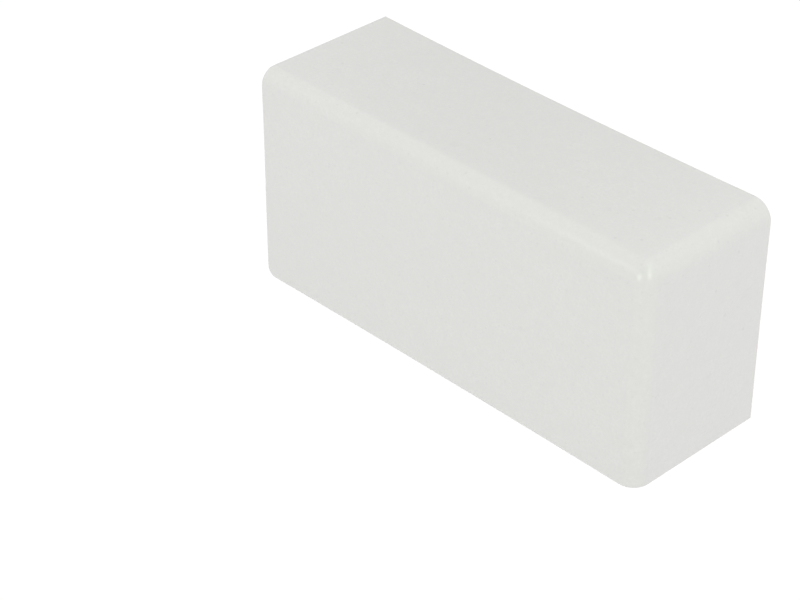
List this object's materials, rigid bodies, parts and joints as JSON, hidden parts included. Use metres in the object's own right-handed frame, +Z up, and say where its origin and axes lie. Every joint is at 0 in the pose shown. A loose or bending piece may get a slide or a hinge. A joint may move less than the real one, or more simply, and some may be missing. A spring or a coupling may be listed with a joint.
{
  "type": "pipe boxing end cap",
  "caption": "White moulded end cap for square pipe boxing, closed at top, front and right end with rounded edges, open at back, bottom and left, held by a hidden clip bracket.",
  "frame": {"origin": "centre of the footprint, on the floor plane that the front and closed-end rims stand on", "axes": "+X along the boxing towards the closed right end, -Y the front, +Y the wall side, +Z up"},
  "size_m": [0.1054, 0.035, 0.05],
  "materials": {
    "cap_plastic": "semi-gloss white moulded plastic with fine specks and scuffs",
    "bracket_plastic": "satin light grey moulded plastic",
    "spring_steel": "bright rolled spring steel strip",
    "pad_foam": "off-white closed-cell foam"
  },
  "bodies": {
    "bracket": {"clip_bracket": "bracket_plastic", "spring_clip_left": "spring_steel", "spring_clip_right": "spring_steel", "foam_pad_lower": "pad_foam", "foam_pad_upper": "pad_foam"},
    "cap": {"end_cap": "cap_plastic"}
  },
  "joints": [
    {"name": "cap_pull", "type": "slide", "parent": "bracket", "child": "cap", "axis": [0, -1, 0], "range_m": [0, 0.04]}
  ]
}
